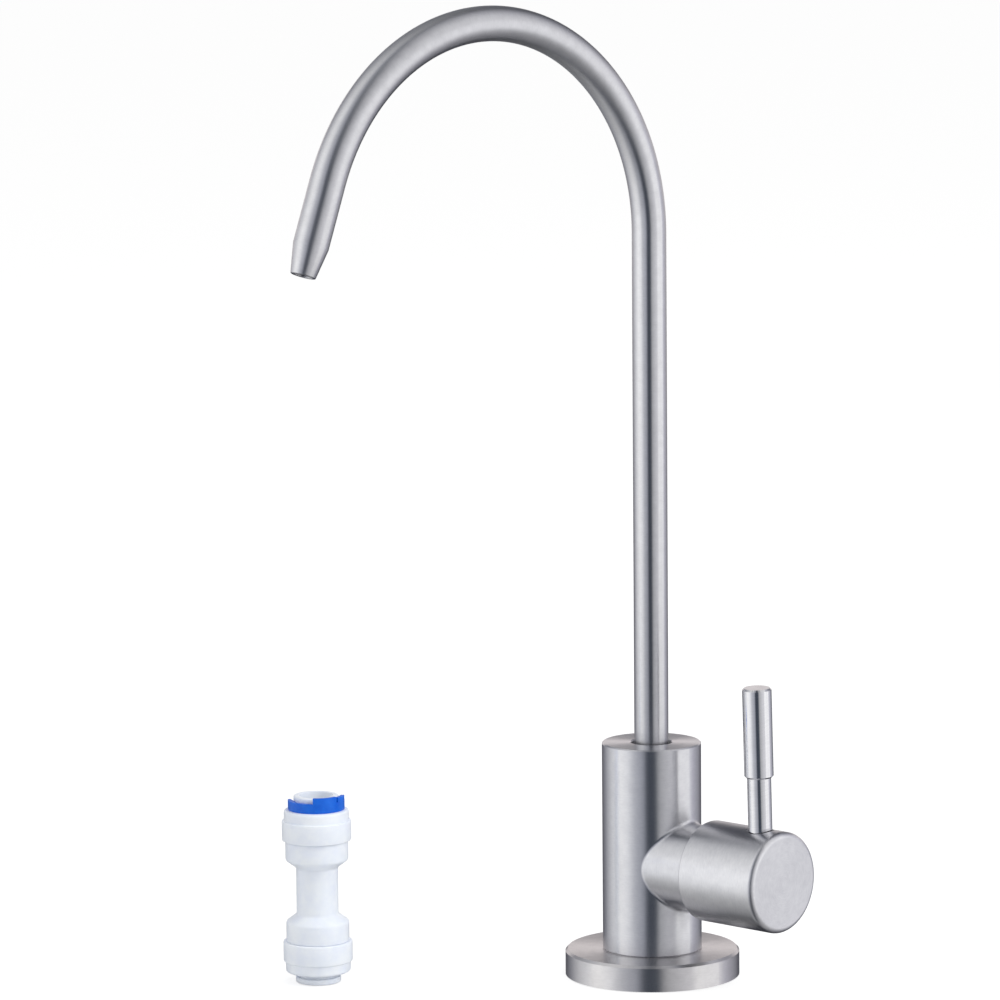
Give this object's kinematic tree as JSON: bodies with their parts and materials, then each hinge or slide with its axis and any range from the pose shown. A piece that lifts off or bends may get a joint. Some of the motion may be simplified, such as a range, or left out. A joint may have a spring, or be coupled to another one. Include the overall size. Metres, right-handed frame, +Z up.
{
  "type": "drinking water filter tap",
  "caption": "Deck-mounted gooseneck drinking water tap with a swivelling spout and a side quarter-turn pin lever, with a loose push-fit tube connector.",
  "frame": {"origin": "centre of the base flange's underside, on the worktop's surface", "axes": "+Z up along the body, +X along the side valve towards its cap, the spout at rest towards -Y"},
  "size_m": [0.1247, 0.1555, 0.3512],
  "materials": {
    "brushed_steel": "brushed stainless steel",
    "satin_steel": "fine turned stainless steel",
    "brass": "machined",
    "rubber": "moulded",
    "ceramic": "lapped",
    "white_plastic": "moulded",
    "blue_plastic": "moulded",
    "black_plastic": "moulded"
  },
  "bodies": {
    "tap": {"body_shell": "brushed_steel", "base_flange": "brushed_steel", "flange_seal": "rubber", "threaded_shank": "satin_steel", "deck_gasket": "rubber", "deck_washer": "satin_steel", "mounting_nut": "satin_steel", "cartridge_housing": "brass", "cartridge_oring": "rubber", "fixed_disc": "ceramic", "seat_seal": "rubber"},
    "spout": {"spout_tube": "brushed_steel", "spout_ferrule": "satin_steel", "spout_orings": "rubber", "spout_snap_ring": "satin_steel", "spout_slide_ring": "black_plastic"},
    "handle": {"handle_cap": "brushed_steel", "handle_hub": "brass", "handle_screw": "satin_steel", "lever_pin": "satin_steel", "lever_sleeve": "satin_steel", "valve_spindle": "brass", "spindle_orings": "rubber", "moving_disc": "ceramic", "stop_washer": "satin_steel", "spindle_clip": "satin_steel"},
    "connector": {"connector_body": "white_plastic", "connector_end_caps": "white_plastic", "connector_orings": "rubber", "connector_spacers": "white_plastic", "upper_collet": "white_plastic", "upper_grab_ring": "satin_steel"},
    "free_collet": {"lower_collet": "white_plastic", "lower_grab_ring": "satin_steel"},
    "clip": {"collet_clip": "blue_plastic"}
  },
  "joints": [
    {"name": "spout_swivel", "type": "hinge", "parent": "tap", "child": "spout", "pos_m": [0, 0, 0.0675], "axis": [0, 0, 1], "continuous": true},
    {"name": "lever_turn", "type": "hinge", "parent": "tap", "child": "handle", "pos_m": [0.0408, 0, 0.0329], "axis": [1, 0, 0], "range_deg": [-2.06, 87.94]},
    {"name": "connector_lift", "type": "slide", "parent": "tap", "child": "connector", "axis": [0, 0, 1], "range_m": [0, 0.06]},
    {"name": "collet_press", "type": "slide", "parent": "connector", "child": "free_collet", "axis": [0, 0, 1], "range_m": [0, 0.0011]},
    {"name": "clip_pull", "type": "slide", "parent": "connector", "child": "clip", "axis": [0.8988, -0.4384, 0], "range_m": [0, 0.02]}
  ]
}
